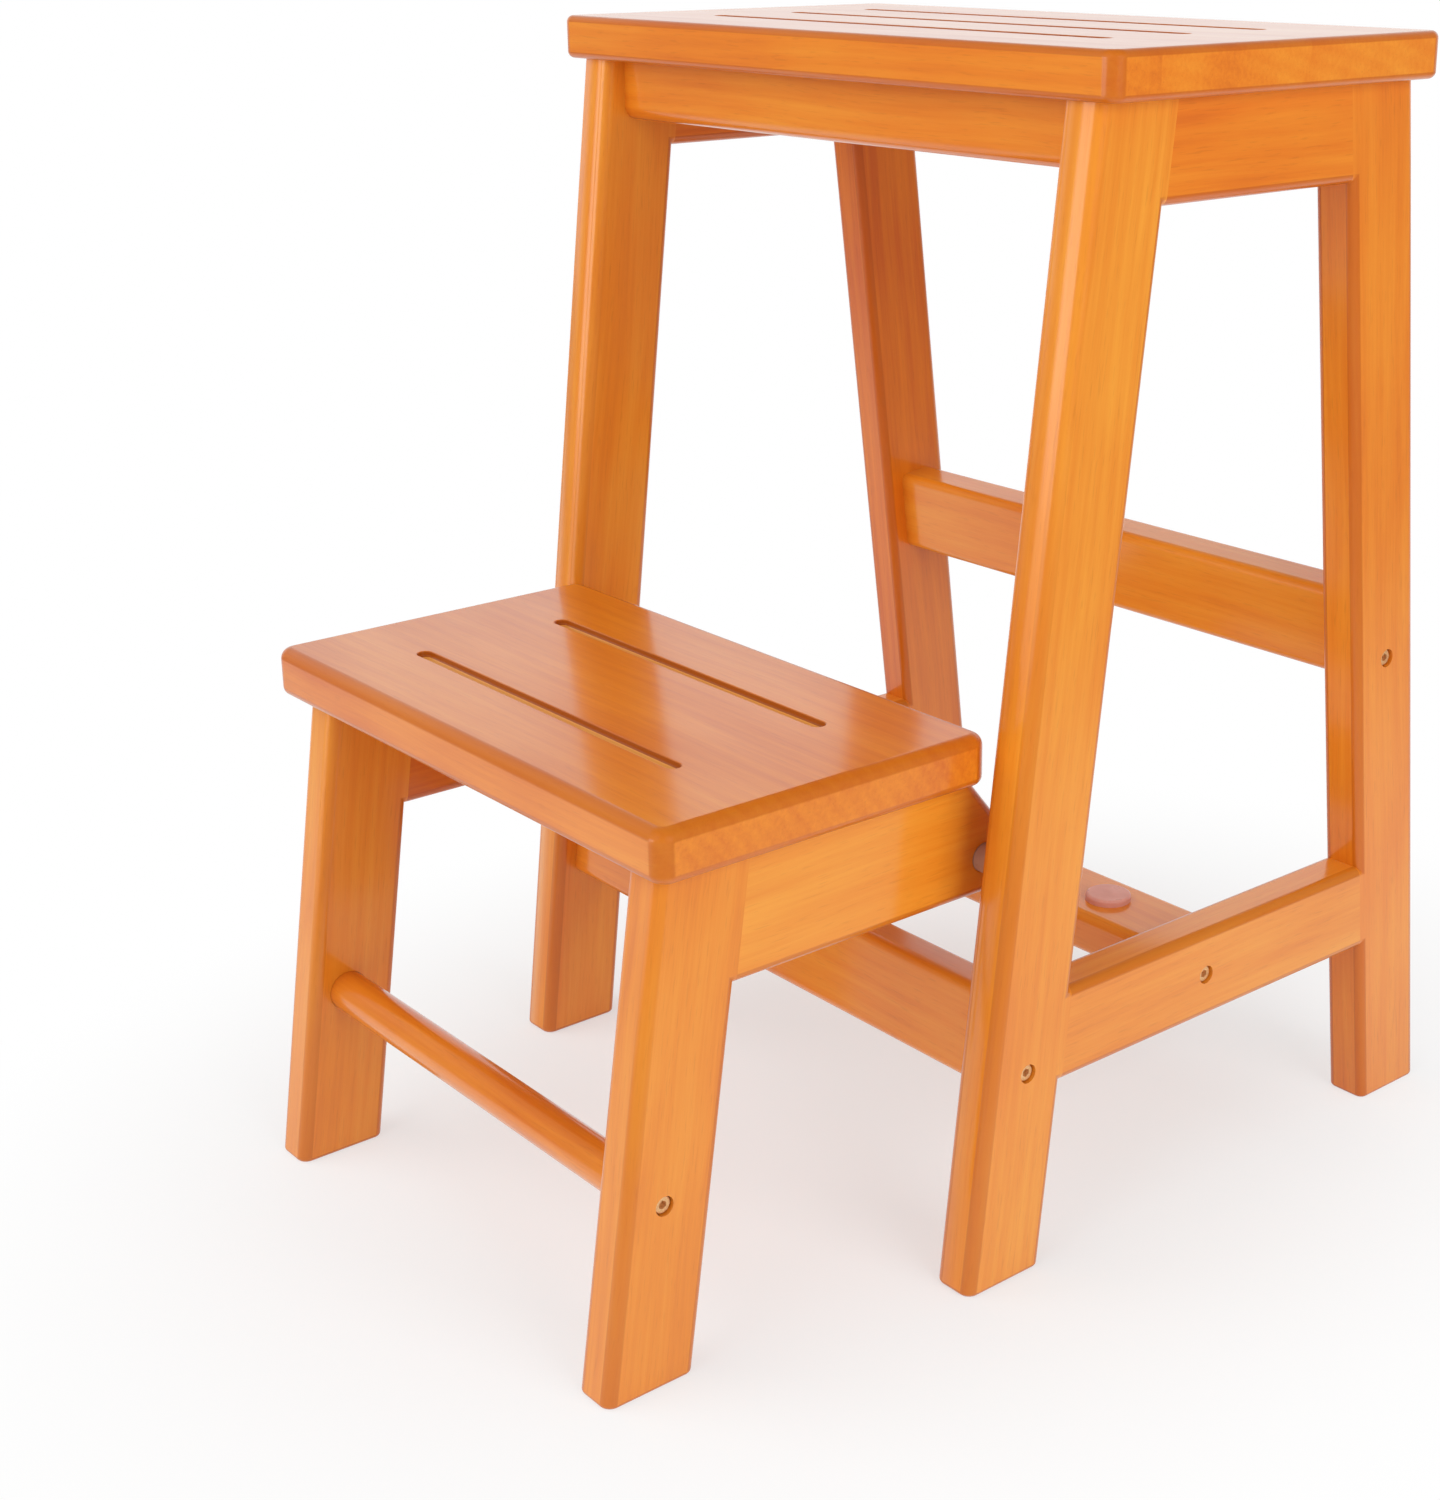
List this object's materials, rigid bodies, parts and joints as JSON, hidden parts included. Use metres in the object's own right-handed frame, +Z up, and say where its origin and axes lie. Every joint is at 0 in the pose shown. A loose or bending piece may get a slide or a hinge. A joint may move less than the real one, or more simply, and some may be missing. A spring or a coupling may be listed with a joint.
{
  "type": "folding step stool",
  "caption": "Wooden step stool: a grooved seat on splayed legs with rails, and a hinged lower step that flips over and stows upside down inside the frame.",
  "frame": {"origin": "on the floor, under the middle of the part's box with the lower step unfolded", "axes": "+X to the right across the stool as seen from the front, +Y from the lower step towards the back, +Z up"},
  "size_m": [0.34, 0.441, 0.48],
  "materials": {
    "lacquered_wood": "honey stain under satin lacquer",
    "dowel_wood": "plain beech",
    "zinc_steel": "zinc plated",
    "insert_brass": "turned brass",
    "spacer_nylon": "natural nylon",
    "bumper_rubber": "moulded, slightly glossy"
  },
  "bodies": {
    "seat_frame": {"seat_board": "lacquered_wood", "front_leg_left": "lacquered_wood", "front_leg_right": "lacquered_wood", "rear_leg_left": "lacquered_wood", "rear_leg_right": "lacquered_wood", "top_rail_left": "lacquered_wood", "top_rail_right": "lacquered_wood", "side_rail_left": "lacquered_wood", "side_rail_right": "lacquered_wood", "front_apron": "lacquered_wood", "rear_apron": "lacquered_wood", "front_cross_rail": "lacquered_wood", "rear_cross_rail": "lacquered_wood", "rest_board": "lacquered_wood", "rest_bumpers": "bumper_rubber", "frame_screws": "zinc_steel", "seat_screws": "zinc_steel", "frame_dowels": "dowel_wood", "pivot_bolts": "zinc_steel", "pivot_spacers": "spacer_nylon", "pivot_inserts": "insert_brass"},
    "lower_step": {"step_tread": "lacquered_wood", "step_leg_left": "lacquered_wood", "step_leg_right": "lacquered_wood", "step_arm_left": "lacquered_wood", "step_arm_right": "lacquered_wood", "step_bar": "lacquered_wood", "step_screws": "zinc_steel", "step_dowels": "dowel_wood", "pivot_bushes": "spacer_nylon"}
  },
  "joints": [
    {"name": "step_flip", "type": "hinge", "parent": "seat_frame", "child": "lower_step", "pos_m": [0, -0.03319, 0.17065], "axis": [-1, 0, 0], "range_deg": [0, 180]}
  ]
}
